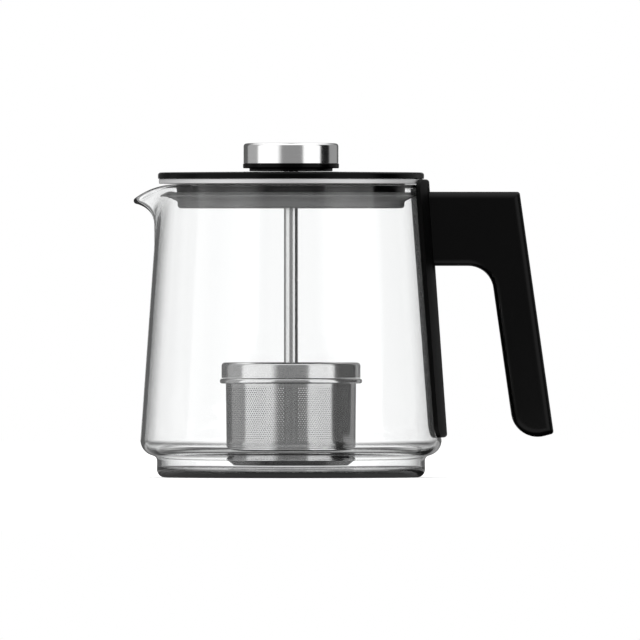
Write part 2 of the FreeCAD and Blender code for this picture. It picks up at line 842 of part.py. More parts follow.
def guide_bush():
    top = cover_top_centre - bush_top_gap
    body = cylinder(bush_radius, plug_bottom, top)
    body = body.fuse(cylinder(bush_flange_radius, plug_bottom, plug_bottom + bush_flange_height))
    body = body.cut(cylinder(bush_bore, plug_bottom - 1, top + 1))
    body = body.cut(washer(bush_radius + 1, bush_radius - clip_groove_depth, clip_seat - clip_side_fit,
                           clip_seat + clip_thickness + clip_side_fit))
    groove = washer(rod_radius + grip_groove_depth, rod_radius / 2, grip_level - grip_groove_width / 2,
                    grip_level + grip_groove_width / 2)
    return body.cut(groove).removeSplitter().Solids[0]


def bush_clip():
    """A retaining ring, open at one side."""
    inner = bush_radius - clip_groove_depth + bush_fit
    ring = washer(inner + clip_width, inner, clip_seat, clip_seat + clip_thickness)
    mouth = box(0, inner + clip_width + 1, -bush_radius / 2, bush_radius / 2,
                clip_seat - 1, clip_seat + clip_thickness + 1)
    return ring.cut(mouth).Solids[0]


def rod_grip_ring():
    ring = Part.makeTorus(bush_bore + grip_section_radius, grip_section_radius)
    ring.translate(Vector(0, 0, grip_level))
    return ring


# Knob and rod

def knob_cap():
    """A drawn steel cup, upside down over the knob base."""
    return turned_sheet([
        (knob_cap_radius, knob_cap_bottom, 0),
        (knob_cap_radius, knob_top, knob_cap_round),
        (0, knob_top, 0),
    ], knob_cap_sheet)


def knob_base():
    spigot = knob_cap_radius - knob_cap_sheet - knob_cap_fit
    spigot_top = knob_flange_top + knob_spigot_height
    body = turned([
        (0, knob_bottom, 0),
        (knob_neck_radius, knob_bottom, knob_neck_round),
        (knob_neck_radius, knob_flange_bottom, knob_neck_round),
        (knob_flange_radius, knob_flange_bottom, knob_flange_round),
        (knob_flange_radius, knob_flange_top, knob_flange_round),
        (spigot, knob_flange_top, 0),
        (spigot, spigot_top, knob_flange_round),
        (0, spigot_top, 0),
    ])
    core = washer(spigot - knob_spigot_wall, knob_centre_radius, knob_flange_bottom + knob_floor,
                  spigot_top + 1)
    body = body.cut(core)
    body = body.cut(cylinder(knob_centre_radius + 1, knob_web_top, spigot_top + 1))
    body = body.cut(cylinder(rod_radius + contact_gap, knob_bottom - 1, knob_web_bottom))
    return body.cut(cylinder(knob_screw_radius + screw_fit, knob_bottom, knob_web_top + 1)).Solids[0]


def knob_washer():
    inner = knob_screw_radius + screw_fit
    return washer(inner + knob_washer_width, inner, knob_washer_seat,
                  knob_washer_seat + knob_washer_thickness)


def knob_screw():
    head = cylinder(knob_head_radius, knob_screw_seat, knob_screw_seat + knob_head_height)
    shank = cylinder(knob_screw_radius, rod_top - knob_thread_depth + screw_fit, knob_screw_seat)
    drive = hexagon_prism(knob_head_radius, knob_head_height)
    drive.translate(Vector(0, 0, knob_screw_seat + knob_head_height / 2))
    return head.fuse(shank).cut(drive).removeSplitter().Solids[0]


def lift_rod():
    rod = cylinder(rod_radius, rod_shoulder, rod_top)
    rod = rod.fuse(cylinder(rod_stud_radius, rod_shoulder - rod_stud_length, rod_shoulder))
    rod = rod.cut(cylinder(knob_screw_radius + contact_gap, rod_top - knob_thread_depth, rod_top + 1))
    for lift in ring_mark_lifts:
        height = seal_bottom - lift
        rod = rod.cut(washer(rod_radius + 1, rod_radius - ring_mark_depth,
                             height - ring_mark_width / 2, height + ring_mark_width / 2))
    return rod.removeSplitter().Solids[0]


# Basket

def basket_base():
    """A pressed pan with a raised hub, a polished bead, a groove and a skirt inside the mesh."""
    skirt = mesh_bottom_radius - mesh_sheet - mesh_fit
    return turned_sheet([
        (rod_stud_hole, hub_under, 0),
        (hub_radius, hub_under, pan_round),
        (hub_radius + hub_slope_run, basket_bottom, pan_round),
        (pan_radius - pan_flat_inset, basket_bottom, pan_round),
        (pan_radius, basket_bottom + pan_bead_bottom, pan_round),
        (pan_radius, basket_bottom + pan_bead_top, pan_round),
        (pan_radius - pan_groove_depth, basket_bottom + pan_groove_height, pan_round),
        (skirt, basket_bottom + pan_groove_height + pan_groove_depth, pan_round),
        (skirt, basket_bottom + pan_skirt_height, 0),
    ], basket_sheet)


def basket_mesh():
    return turned_sheet([
        (mesh_bottom_radius, mesh_bottom, 0),
        (mesh_top_radius, bead_top - mesh_below_bead_top, 0),
    ], mesh_sheet)


def basket_rim():
    low = bead_top - bead_height
    return turned([
        (bead_inner_radius, low, bead_inner_round),
        (bead_radius, low, bead_round),
        (bead_radius, bead_top, bead_round),
        (bead_inner_radius, bead_top, bead_inner_round),
    ])


def rod_washer():
    low = hub_top + contact_gap
    return washer(rod_washer_radius, rod_stud_hole, low, low + rod_washer_thickness)


def rod_nut():
    nut = hexagon_prism(rod_nut_flats, rod_nut_height)
    nut.translate(Vector(0, 0, hub_under - contact_gap - rod_nut_height))
    return nut.cut(cylinder(rod_stud_hole, 0, hub_under + 1))


def basket_cap():
    """A pressed cap that stands on the basket's rim, with a dimple round the rod."""
    return turned_sheet([
        (cap_radius, cap_bottom, 0),
        (cap_radius, cap_top, cap_round),
        (cap_dimple_radius, cap_top, cap_dimple_round),
        (cap_dimple_radius - cap_dimple_slope, cap_top - cap_dimple_depth, cap_dimple_round),
        (cap_hole_radius, cap_top - cap_dimple_depth, 0),
    ], basket_sheet)


def cap_grommet():
    """A soft ring snapped into the cap's hole."""
    seat_top = cap_top - cap_dimple_depth
    seat_low = seat_top - basket_sheet
    groove = cap_hole_radius - grommet_fit
    return turned([
        (grommet_bore, seat_low - grommet_fit - grommet_lip, grommet_round),
        (grommet_flange_radius, seat_low - grommet_fit - grommet_lip, grommet_round),
        (grommet_flange_radius, seat_low - grommet_fit, 0),
        (groove, seat_low - grommet_fit, 0),
        (groove, seat_top + grommet_fit, 0),
        (grommet_flange_radius, seat_top + grommet_fit, 0),
        (grommet_flange_radius, cap_top - grommet_top_gap, grommet_round),
        (grommet_bore, cap_top - grommet_top_gap, grommet_round),
    ])


pieces = {
    "jug_glass": jug_glass,
    "strap_adhesive": strap_adhesive,
    "handle_strap": handle_strap,
    "handle_shell": handle_shell,
    "handle_cover": handle_cover,
    "handle_inserts": handle_inserts,
    "handle_screws": handle_screws,
    "lid_cover": lid_cover,
    "lid_trim_ring": lid_trim_ring,
    "lid_plug": lid_plug,
    "lid_seal": lid_seal,
    "lid_screws": lid_screws,
    "guide_bush": guide_bush,
    "bush_clip": bush_clip,
    "rod_grip_ring": rod_grip_ring,
    "knob_cap": knob_cap,
    "knob_base": knob_base,
    "knob_washer": knob_washer,
    "knob_screw": knob_screw,
    "lift_rod": lift_rod,
    "basket_base": basket_base,
    "basket_mesh": basket_mesh,
    "basket_rim": basket_rim,
    "rod_washer": rod_washer,
    "rod_nut": rod_nut,
    "basket_cap": basket_cap,
    "cap_grommet": cap_grommet,
}

os.makedirs("parts", exist_ok=True)
for name, make in pieces.items():
    make().exportStep("parts/" + name + ".step")
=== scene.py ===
"""A glass tea maker: glass jug with spout, black handle and lid, steel basket on a lift rod."""

import math

import bmesh
import bpy
import numpy as np
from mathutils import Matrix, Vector


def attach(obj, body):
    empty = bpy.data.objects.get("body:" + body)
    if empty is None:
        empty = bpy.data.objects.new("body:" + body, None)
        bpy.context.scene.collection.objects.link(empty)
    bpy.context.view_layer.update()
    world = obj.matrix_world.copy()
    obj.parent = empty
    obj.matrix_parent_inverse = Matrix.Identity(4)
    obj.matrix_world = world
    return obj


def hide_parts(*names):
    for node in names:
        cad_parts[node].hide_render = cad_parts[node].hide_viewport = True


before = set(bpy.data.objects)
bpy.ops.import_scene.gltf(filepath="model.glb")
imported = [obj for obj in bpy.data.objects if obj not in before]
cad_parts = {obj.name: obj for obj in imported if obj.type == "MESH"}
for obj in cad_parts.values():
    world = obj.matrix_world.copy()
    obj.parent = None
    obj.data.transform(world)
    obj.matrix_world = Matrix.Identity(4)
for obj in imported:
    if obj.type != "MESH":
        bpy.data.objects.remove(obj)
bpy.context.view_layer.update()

MM = 0.001
ROUND_STEPS = 7          # points along each rounded corner
TURN_STEPS = 192         # divisions of a turned piece
SMALL_TURN_STEPS = 96    # of a narrow one
EDGE_HOLD = 0.25         # mm from a corner to the ring that keeps the flat beside it flat
LEAST_ROUND = 0.02       # mm, for a round that its shift would swallow
ON_AXIS = 1e-6           # mm, within which a point lies on the axis
SHARP = 38               # degrees between faces that meet in a sharp edge
SOLID_SHARP = 30         # the same where the CAD solid's own surface is used
GLASS_SHARP = 60         # and for the glass


# Node trees: one class for the maths and one for the nodes

MIX_LOW, MIX_HIGH = 6, 7      # colour inputs of a mix node
MIX_RESULT = 2                # its colour output


class Amount:
    """A number that a material or a repeat works out at each point."""

    def __init__(self, tree, socket):
        self.tree = tree
        self.socket = socket

    def calc(self, operation, *others):
        """This amount, then the others, through one step of maths."""
        inputs = dict(enumerate([self, *others]))
        node = self.tree.add("ShaderNodeMath", {"operation": operation}, inputs)
        return Amount(self.tree, node.outputs[0])

    def flipped(self, operation, other):
        """A plain number first, then this amount."""
        inputs = {0: other, 1: self}
        node = self.tree.add("ShaderNodeMath", {"operation": operation}, inputs)
        return Amount(self.tree, node.outputs[0])

    def __add__(self, other):
        return self.calc("ADD", other)

    def __radd__(self, other):
        return self.flipped("ADD", other)

    def __sub__(self, other):
        return self.calc("SUBTRACT", other)

    def __rsub__(self, other):
        return self.flipped("SUBTRACT", other)

    def __mul__(self, other):
        return self.calc("MULTIPLY", other)

    def __truediv__(self, other):
        return self.calc("DIVIDE", other)

    def __rtruediv__(self, other):
        return self.flipped("DIVIDE", other)

    def __mod__(self, other):
        return self.calc("FLOORED_MODULO", other)

    def eased(self, low, high):
        """0 below the low value, 1 above the high one, and a soft step between."""
        node = self.tree.add("ShaderNodeMapRange", {"interpolation_type": "SMOOTHSTEP"},
                             {"Value": self.socket, "From Min": low, "From Max": high})
        return Amount(self.tree, node.outputs["Result"])


class Tree:
    """The nodes of one material, world or repeat."""

    def __init__(self, nodes_owner):
        self.nodes = nodes_owner.nodes
        self.links = nodes_owner.links

    def add(self, kind, settings=None, inputs=None):
        """A node with its settings, and with numbers or links at its inputs."""
        node = self.nodes.new(kind)
        for name, value in (settings or {}).items():
            setattr(node, name, value)
        for name, value in (inputs or {}).items():
            value = getattr(value, "socket", value)
            if isinstance(value, bpy.types.NodeSocket):
                self.links.new(value, node.inputs[name])
            else:
                node.inputs[name].default_value = value
        return node

    def parts(self, vector):
        """The three parts of a vector as amounts."""
        split = self.add("ShaderNodeSeparateXYZ", None, {0: vector})
        return [Amount(self, output) for output in split.outputs]

    def place(self):
        """Object coordinates as three amounts, in metres."""
        return self.parts(self.add("ShaderNodeTexCoord").outputs["Object"])

    def place_mm(self):
        return [part * 1000.0 for part in self.place()]

    def point(self, x, y, z):
        return self.add("ShaderNodeCombineXYZ", None, {0: x, 1: y, 2: z}).outputs[0]

    def noise(self, vector, scale=1.0, detail=2.0, roughness=0.5):
        """Noise from 0 to 1; the scale is per unit of the vector."""
        node = self.add("ShaderNodeTexNoise", {"noise_dimensions": "3D"}, {
            "Vector": vector, "Scale": scale, "Detail": detail, "Roughness": roughness})
        return Amount(self, node.outputs["Fac"])

    def bump(self, height, strength, distance):
        node = self.add("ShaderNodeBump", None,
                        {"Height": height, "Strength": strength, "Distance": distance})
        return node.outputs["Normal"]

    def blend(self, amount, low, high, kind="MIX"):
        """From one shade to the other; each is a colour, a grey level or a socket."""
        low, high = [grey(shade) if isinstance(shade, float) else shade for shade in (low, high)]
        node = self.add("ShaderNodeMix", {"data_type": "RGBA", "blend_type": kind},
                        {0: amount, MIX_LOW: low, MIX_HIGH: high})
        return node.outputs[MIX_RESULT]

    def ramp(self, amount, stops):
        """The grey level that the stops give along an amount from 0 to 1."""
        node = self.add("ShaderNodeValToRGB", None, {"Fac": amount})
        elements = node.color_ramp.elements
        for at, level in stops[1:-1]:
            elements.new(at)
        for element, (at, level) in zip(elements, stops):
            element.position = at
            element.color = grey(level)
        return node.outputs["Color"]


def grey(level):
    return (level, level, level, 1.0)


def bare_tree(owner):
    """The emptied node tree of a material or a world."""
    owner.use_nodes = True
    owner.node_tree.nodes.clear()
    return Tree(owner.node_tree)


# Materials

looks = {}               # materials by name


def finish(name, **fixed):
    """Starts a look: its tree, and its Principled shader with the fixed values."""
    looks[name] = bpy.data.materials.new(name)
    tree = bare_tree(looks[name])
    shader = tree.add("ShaderNodeBsdfPrincipled", None,
                      {key.replace("_", " "): value for key, value in fixed.items()})
    tree.add("ShaderNodeOutputMaterial", None, {"Surface": shader.outputs[0]})
    return tree, shader


def varies(tree, shader, **links):
    """Links the values that change over the surface to the shader."""
    for key, value in links.items():
        tree.links.new(getattr(value, "socket", value), shader.inputs[key.replace("_", " ")])


def clear_glass():
    tree, shader = finish("clear_glass", Roughness=0.0, IOR=1.47, Transmission_Weight=1.0)
    film = tree.noise(tree.point(*tree.place_mm()), 0.03)
    varies(tree, shader,
           Base_Color=tree.blend(film, (0.985, 0.99, 0.99, 1), (0.995, 0.998, 0.998, 1)))


def moulded_black(name, shade, roughness, grain, gloss):
    """Moulded plastic: a fine spark-eroded grain, faint flow marks and rubbed patches."""
    tree, shader = finish(name, IOR=1.48, Specular_IOR_Level=gloss)
    spot = tree.point(*tree.place_mm())
    fine = tree.noise(spot, 3.2)
    flow = tree.noise(spot, 0.035, 3.0)
    rub = tree.noise(spot, 0.22, 4.0, 0.6)
    varies(tree, shader,
           Base_Color=tree.blend(flow * 0.6 + rub * 0.4, shade * 0.8, shade * 1.25),
           Roughness=roughness - 0.05 + flow * 0.06 + rub * 0.05,
           Normal=tree.bump(fine, grain, 0.04 * MM))


def soft_silicone():
    tree, shader = finish("silicone", IOR=1.42)
    spot = tree.point(*tree.place_mm())
    cloud = tree.noise(spot, 0.12, 3.0)
    fine = tree.noise(spot, 2.4)
    varies(tree, shader,
           Base_Color=tree.blend(cloud, 0.27, 0.34),
           Roughness=0.46 + fine * 0.12,
           Normal=tree.bump(fine, 0.25, 0.04 * MM))


def steel(name, tint, roughness, lines, line_depth, spread, along_axis=False, metal=1.0):
    """Steel with fine tool lines round its axis, or along it.

    spread is how far the roughness varies between the lines."""
    tree, shader = finish(name, Metallic=metal)
    x, y, z = tree.place_mm()
    turn = y.calc("ARCTAN2", x)
    radius = (x * x + y * y).calc("SQRT")
    if along_axis:
        streak = tree.noise(tree.point(turn * 3.5 * lines, z * 0.02, 0.0), 1.0, 3.0, 0.6)
    else:
        streak = tree.noise(tree.point(turn * 0.35, z * lines, radius * lines), 1.0, 3.0, 0.6)
    cloud = tree.noise(tree.point(x, y, z), 0.05, 3.0)
    varies(tree, shader,
           Base_Color=tree.blend(streak * 0.7 + cloud * 0.3, tint * 0.93, tint * 1.05),
           Roughness=roughness - spread / 2 + streak * spread + cloud * 0.03,
           Normal=tree.bump(streak, line_depth, 0.02 * MM))


def cloudy(name, scale, detail, low, high, roughness, spread, grain, depth, **fixed):
    """A plain material whose colour, roughness and surface follow one noise."""
    tree, shader = finish(name, **fixed)
    cloud = tree.noise(tree.point(*tree.place_mm()), scale, detail)
    varies(tree, shader,
           Base_Color=tree.blend(cloud, low, high),
           Roughness=roughness + cloud * spread,
           Normal=tree.bump(cloud, grain, depth * MM))


clear_glass()
# Shade, roughness, grain, gloss
moulded_black("handle_black", 0.0009, 0.3, 0.35, 0.16)
moulded_black("strap_black", 0.0009, 0.45, 0.35, 0.1)
moulded_black("lid_black", 0.0008, 0.22, 0.25, 0.1)
moulded_black("plug_black", 0.0015, 0.45, 0.5, 0.2)
soft_silicone()
# Tint, roughness, tool lines per mm, their depth, and the spread of the roughness
steel("satin_steel", 0.7, 0.14, 6.0, 0.3, 0.08)
steel("knob_steel", 0.86, 0.13, 6.0, 0.3, 0.08)
steel("trim_steel", 0.76, 0.5, 8.0, 0.4, 0.1, metal=0.5)
steel("polished_steel", 0.72, 0.1, 3.0, 0.12, 0.05)
steel("rod_steel", 0.7, 0.11, 5.0, 0.2, 0.05, along_axis=True)
steel("mesh_steel", 0.58, 0.12, 4.0, 0.3, 0.06)
steel("screw_steel", 0.55, 0.28, 4.0, 0.3, 0.1)
# Noise per mm and its detail, two colours, roughness and its spread, grain and its depth in mm
cloudy("brass", 2.5, 2.0, (0.56, 0.4, 0.16, 1), (0.72, 0.55, 0.27, 1), 0.25, 0.15, 0.3, 0.1,
       Metallic=1.0)
cloudy("bush_plastic", 0.5, 3.0, (0.68, 0.68, 0.65, 1), (0.76, 0.76, 0.73, 1), 0.38, 0.1, 0.2,
       0.05, IOR=1.5)
cloudy("bond", 0.4, 3.0, 0.002, 0.004, 0.6, 0.1, 0.3, 0.1, Specular_IOR_Level=0.1)


# Shapes. Lengths are in millimetres here; meshes are in metres.

def corner_cut(before, here, after):
    """Directions from a corner to its neighbours, and half the angle between them."""
    back = (before - here).normalized()
    onward = (after - here).normalized()
    return back, onward, 0.5 * math.acos(max(-1.0, min(1.0, back.dot(onward))))


def rounded(corners, closed=True, steps=ROUND_STEPS, hold=EDGE_HOLD):
    """Points along an outline of (u, v, radius) corners, with extra points beside each round."""
    count = len(corners)
    points = [Vector((u, v)) for u, v, radius in corners]
    inner = range(count) if closed else range(1, count - 1)
    cuts = [0.0] * count
    for i in inner:
        half = corner_cut(points[i - 1], points[i], points[(i + 1) % count])[2]
        cuts[i] = corners[i][2] / math.tan(half)
    shares = [1.0] * count
    for i in range(count if closed else count - 1):
        j = (i + 1) % count
        side = (points[i] - points[j]).length
        if cuts[i] + cuts[j] > side:
            shares[i] = min(shares[i], side / (cuts[i] + cuts[j]))
            shares[j] = min(shares[j], side / (cuts[i] + cuts[j]))
    outline = []
    for i in range(count):
        if i not in inner or cuts[i] == 0:
            outline.append([points[i]])
            continue
        back, onward, half = corner_cut(points[i - 1], points[i], points[(i + 1) % count])
        cut = cuts[i] * shares[i]
        radius = cut * math.tan(half)
        centre = points[i] + (back + onward).normalized() * (radius / math.sin(half))
        start = points[i] + back * cut - centre
        sweep = math.pi - 2 * half
        turn = start.x * (points[i] - centre).y - start.y * (points[i] - centre).x
        way = 1 if turn > 0 else -1
        arc = []
        for k in range(steps + 1):
            angle = way * sweep * k / steps
            arc.append(centre + Vector((start.x * math.cos(angle) - start.y * math.sin(angle),
                                        start.x * math.sin(angle) + start.y * math.cos(angle))))
        outline.append(arc)
    held = []
    for i in range(count):
        held.extend(outline[i])
        if i == count - 1 and not closed:
            break
        start = outline[i][-1]
        end = outline[(i + 1) % count][0]
        gap = (end - start).length
        if hold and gap > 3 * hold:
            along = (end - start) / gap
            held.append(start + along * hold)
            held.append(end - along * hold)
    return [(point.x, point.y) for point in held]


def shifted(corners, distance, closed):
    """The corners moved to the left of the path by a distance, with concentric rounds."""
    count = len(corners)
    points = [Vector((u, v)) for u, v, radius in corners]
    lefts = []
    for i in range(count if closed else count - 1):
        along = (points[(i + 1) % count] - points[i]).normalized()
        lefts.append((along, Vector((-along.y, along.x))))
    moved = []
    for i in range(count):
        if not closed and i in (0, count - 1):
            point = points[i] + lefts[min(i, count - 2)][1] * distance
            moved.append((point.x, point.y, 0))
            continue
        (along_in, left_in), (along_out, left_out) = lefts[i - 1], lefts[i]
        turn = along_in.x * along_out.y - along_in.y * along_out.x
        point = points[i] + (left_in + left_out) * (distance / (1 + left_in.dot(left_out)))
        radius = corners[i][2]
        if radius > 0:
            radius = max(radius - math.copysign(distance, turn), LEAST_ROUND)
        moved.append((point.x, point.y, radius))
    return moved


def new_piece(name, shape, body, nodes, look, sharp=SHARP):
    """A bmesh in millimetres as a finished piece that rides on a body and replaces nodes."""
    bmesh.ops.scale(shape, vec=(MM, MM, MM), verts=shape.verts)
    bmesh.ops.recalc_face_normals(shape, faces=shape.faces)
    mesh = bpy.data.meshes.new(name)
    shape.to_mesh(mesh)
    shape.free()
    add_piece(name, mesh, body, nodes, look, sharp)


def add_piece(name, mesh, body, nodes, look, sharp):
    """The same for a mesh in metres."""
    mesh.shade_smooth()
    mesh.set_sharp_from_angle(angle=math.radians(sharp))
    mesh.materials.clear()
    mesh.materials.append(looks[look])
    piece = bpy.data.objects.new(name, mesh)
    bpy.context.scene.collection.objects.link(piece)
    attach(piece, body)
    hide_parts(*nodes)
    return piece


def spin(shape, outline, divisions=TURN_STEPS):
    """Adds a closed outline of (radius, height) points to a bmesh, turned about Z."""
    rings = []
    for radius, height in outline:
        if radius < ON_AXIS:
            rings.append([shape.verts.new((0, 0, height))])
            continue
        ring = []
        for k in range(divisions):
            angle = 2 * math.pi * k / divisions
            across, deep = radius * math.cos(angle), radius * math.sin(angle)
            ring.append(shape.verts.new((across, deep, height)))
        rings.append(ring)
    for i in range(len(rings)):
        low, high = rings[i - 1], rings[i]
        if len(low) == 1 and len(high) == 1:
            continue
        for k in range(divisions):
            n = (k + 1) % divisions
            corners = (low[k % len(low)], low[n % len(low)],
                       high[n % len(high)], high[k % len(high)])
            shape.faces.new(list(dict.fromkeys(corners)))      # three where one end is a point


def turned(name, corners, body, nodes, look, divisions=TURN_STEPS):
    """A piece turned about Z from a closed outline of (radius, height, round) corners."""
    shape = bmesh.new()
    spin(shape, rounded(corners), divisions)
    new_piece(name, shape, body, nodes, look)


def sheet_corners(path, thickness):
    """A closed outline round a sheet, whose other side lies to the left of the path."""
    return path + shifted(path, thickness, False)[::-1]


def from_solid(name, node, body, look):
    """A node's own surface, joined up and shaded smooth between its edges."""
    shape = bmesh.new()
    shape.from_mesh(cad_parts[node].data)
    bmesh.ops.remove_doubles(shape, verts=shape.verts, dist=0.001 * MM)
    mesh = bpy.data.meshes.new(name)
    shape.to_mesh(mesh)
    shape.free()
    piece = add_piece(name, mesh, body, [node], look, SOLID_SHARP)
    even = piece.modifiers.new("even_shading", "WEIGHTED_NORMAL")
    even.keep_sharp = True
    even.weight = 100


# Jug

WALL = 2.0
GLASS_FLOOR = 2.4
FOOT = 67.05             # radius of the foot
FOOT_WALL = 2.0
STEP = 10.2              # height of the slanting step at the foot's wall
SLANT = 0.35             # its rise per radius
SHOULDER, SHOULDER_INSIDE = 75.776, 73.672      # radii where step and cone meet
RIM_TOP = 146.5
RIM_RADIUS = 66.3
CONE = 0.0711127         # radius gained per height downwards
TRUE = math.hypot(1, CONE)          # level breadth of the slanting wall per thickness
UPPER = 104.0            # where the spout's rings start
PLAIN_RINGS = (40.0, 60.0, 80.0)
UPPER_RINGS = 52
RING_CROWDING = 0.9      # of the upper rings towards the rim
RIM_STEPS = 12           # faces over the rim's round
JUG_ROUND_STEPS, JUG_EDGE_HOLD = 14, 0.5
FINE_TURN, FINE_STEP = 42, 0.5      # degrees from the spout's middle, and between points there
COARSE_STEPS = 200       # points round the rest
HALVINGS = 34

RIM_BEAD = 0.25          # how much thicker the rim is all round
LIP_BEAD = 1.0           # how much more at the lip
LIP_SPREAD = 0.2         # of the thicker lip, in radians
LIP_START, LIP_ARC = 57.0, 34.0     # where the rim starts to fall, and the radius of its fall
RIM_FADE, LIP_FADE = 12, 4          # powers with which both fade downwards

ROLL_X, ROLL_Z, ROLL_RADIUS = 80.0, 124.4, 12.6      # the round that the spout rolls over
ROLL_DROP = 0.16         # how fast the spout fades below its roll
SPOUT_DEPTH = 22.0
SPOUT_BLEND = 3.0        # of spout and cone
LIP_TURN = math.radians(86.0)
NOSE, NOSE_LESS = 9.0, 4.0          # radius of the spout's V at its root; how much less at the lip
FLARE, FLARE_LESS = 62.0, 10.0      # half the V's angle, the same way
LIP_PAST = 1.05          # share of the turn up to which both go on
REACH_LOW, REACH_HIGH, LIP_LOW = 50.0, 84.0, 130.0   # limits of the halvings
NORMAL_STEP = 0.02       # mm to either side, between which the surface's slope is taken


def cone_radius(z):
    return RIM_RADIUS + (RIM_TOP - z) * CONE


def outside_of_glass(out, y, z):
    """Distance from the outer surface: the cone, blended with the spout's rounded V. out is -x."""
    cone = (np.hypot(out, y) - cone_radius(z)) / TRUE
    below = np.minimum(z - ROLL_Z, 0.0)
    rise = np.maximum(z - ROLL_Z, 0.0)
    span = np.hypot(ROLL_X - out, rise) + ROLL_DROP * below
    share = np.clip(np.arctan2(rise, ROLL_X - out) / LIP_TURN, 0, LIP_PAST)
    nose = NOSE - NOSE_LESS * share
    flare = np.radians(FLARE - FLARE_LESS * share)
    ahead = ROLL_RADIUS + nose - span
    side = np.abs(y)
    at_nose = side * np.sin(flare) < ahead * np.cos(flare)
    vee = np.where(at_nose, np.hypot(ahead, side) - nose,
                   ahead * np.sin(flare) + side * np.cos(flare) - nose)
    vee = np.maximum(vee, span - (ROLL_RADIUS + SPOUT_DEPTH))
    near = np.maximum(SPOUT_BLEND - np.abs(cone - vee), 0) / SPOUT_BLEND
    return np.minimum(cone, vee) - near * near * SPOUT_BLEND / 4


def glass_reach(turn, z):
    """Radius of the outer surface at a turn from the spout's middle, found by halving."""
    low = np.full(turn.shape, REACH_LOW)
    high = np.full(turn.shape, REACH_HIGH)
    for step in range(HALVINGS):
        middle = (low + high) / 2
        inside = outside_of_glass(middle * np.cos(turn), middle * np.sin(turn), z) < 0
        low = np.where(inside, middle, low)
        high = np.where(inside, high, middle)
    return (low + high) / 2


def glass_point(turn, z):
    reach = glass_reach(turn, z)
    return np.stack([-reach * np.cos(turn), reach * np.sin(turn), z], axis=-1)


def glass_normal(point):
    """Outward unit normals of the outer surface."""
    grown = []
    for axis in range(3):
        ahead = point.copy()
        behind = point.copy()
        ahead[..., axis] += NORMAL_STEP
        behind[..., axis] -= NORMAL_STEP
        grown.append(outside_of_glass(-ahead[..., 0], ahead[..., 1], ahead[..., 2])
                     - outside_of_glass(-behind[..., 0], behind[..., 1], behind[..., 2]))
    normal = np.stack(grown, axis=-1)
    return normal / np.linalg.norm(normal, axis=-1, keepdims=True)


def rim_height(out):
    """Top of the rim: level, and falling along an arc towards the lip."""
    along = np.clip(out - LIP_START, 0, LIP_ARC - 1)
    return RIM_TOP - LIP_ARC + np.sqrt(LIP_ARC ** 2 - along ** 2)


def rim_end(turn, half):
    """Height of the outer surface's end at each turn, half a wall below the rim's top."""
    low = np.full(turn.shape, LIP_LOW)
    high = RIM_TOP - half[:, 0]
    for step in range(HALVINGS):
        middle = (low + high) / 2
        point = glass_point(turn, middle)
        core = point - glass_normal(point) * half
        over = core[:, 2] + half[:, 0] > rim_height(-core[:, 0])
        high = np.where(over, middle, high)
        low = np.where(over, low, middle)
    return low


def jug_mesh():
    """The jug, from rings that go up the outside, over the rim and down the inside."""
    fine = np.radians(np.arange(-FINE_TURN, FINE_TURN, FINE_STEP))
    coarse = np.radians(np.linspace(FINE_TURN, 360 - FINE_TURN, COARSE_STEPS, endpoint=False))
    turn = np.concatenate([fine, coarse])
    growth = LIP_BEAD * np.exp(-(turn / LIP_SPREAD) ** 2)[:, None]
    half = (WALL + RIM_BEAD + growth) / 2
    end = rim_end(turn, half)
    rings = []

    def plain(outline):
        for radius, height in outline:
            rings.append(np.stack([-radius * np.cos(turn), radius * np.sin(turn),
                                   np.full(turn.shape, height)], axis=-1))

    outer_low = rounded([(0, 0, 0), (FOOT, 0, 4.0), (FOOT, STEP, 2.4),
                         (SHOULDER, STEP + SLANT * (SHOULDER - FOOT), 8.0),
                         (cone_radius(UPPER), UPPER, 0)],
                        False, JUG_ROUND_STEPS, JUG_EDGE_HOLD)
    plain(outer_low[1:-2])
    plain([(cone_radius(height), height) for height in PLAIN_RINGS])
    shares = np.linspace(0, 1, UPPER_RINGS)
    upper = []
    for share in shares:
        rise = math.sin(share * math.pi / 2) ** RING_CROWDING
        upper.append(glass_point(turn, UPPER + (end - UPPER) * rise))
    rings.extend(upper)
    normals = [glass_normal(ring) for ring in upper]
    edge = upper[-1]
    outward = normals[-1]
    tangent = np.roll(edge, -1, axis=0) - np.roll(edge, 1, axis=0)
    onward = np.cross(outward, tangent)
    onward /= np.linalg.norm(onward, axis=-1, keepdims=True)
    onward *= np.sign(onward[:, 2:3])
    core = edge - outward * half
    for k in range(1, RIM_STEPS):
        angle = math.pi * k / RIM_STEPS
        rings.append(core + half * (outward * math.cos(angle) + onward * math.sin(angle)))
    for ring, normal, share in zip(upper[::-1], normals[::-1], shares[::-1]):
        rings.append(ring - normal * (WALL + growth * share ** LIP_FADE
                                      + RIM_BEAD * share ** RIM_FADE))
    plain([(cone_radius(height) - WALL * TRUE, height) for height in PLAIN_RINGS[::-1]])
    rise = STEP + FOOT_WALL * math.hypot(1, SLANT)
    inner_low = rounded([(0, GLASS_FLOOR, 0), (FOOT - FOOT_WALL, GLASS_FLOOR, 3.0),
                         (FOOT - FOOT_WALL, rise - SLANT * FOOT_WALL, 4.4),
                         (SHOULDER_INSIDE, rise + SLANT * (SHOULDER_INSIDE - FOOT), 6.0),
                         (cone_radius(UPPER) - WALL * TRUE, UPPER, 0)],
                        False, JUG_ROUND_STEPS, JUG_EDGE_HOLD)
    plain(inner_low[1:-2][::-1])
    shape = bmesh.new()
    grid = [[shape.verts.new(point) for point in ring] for ring in rings]
    count = len(turn)
    for lower, higher in zip(grid, grid[1:]):
        for k in range(count):
            n = (k + 1) % count
            shape.faces.new((lower[k], lower[n], higher[n], higher[k]))
    for ring, height in ((grid[0], 0.0), (grid[-1], GLASS_FLOOR)):
        pole = shape.verts.new((0, 0, height))
        for k in range(count):
            shape.faces.new((ring[k], ring[(k + 1) % count], pole))
    return shape


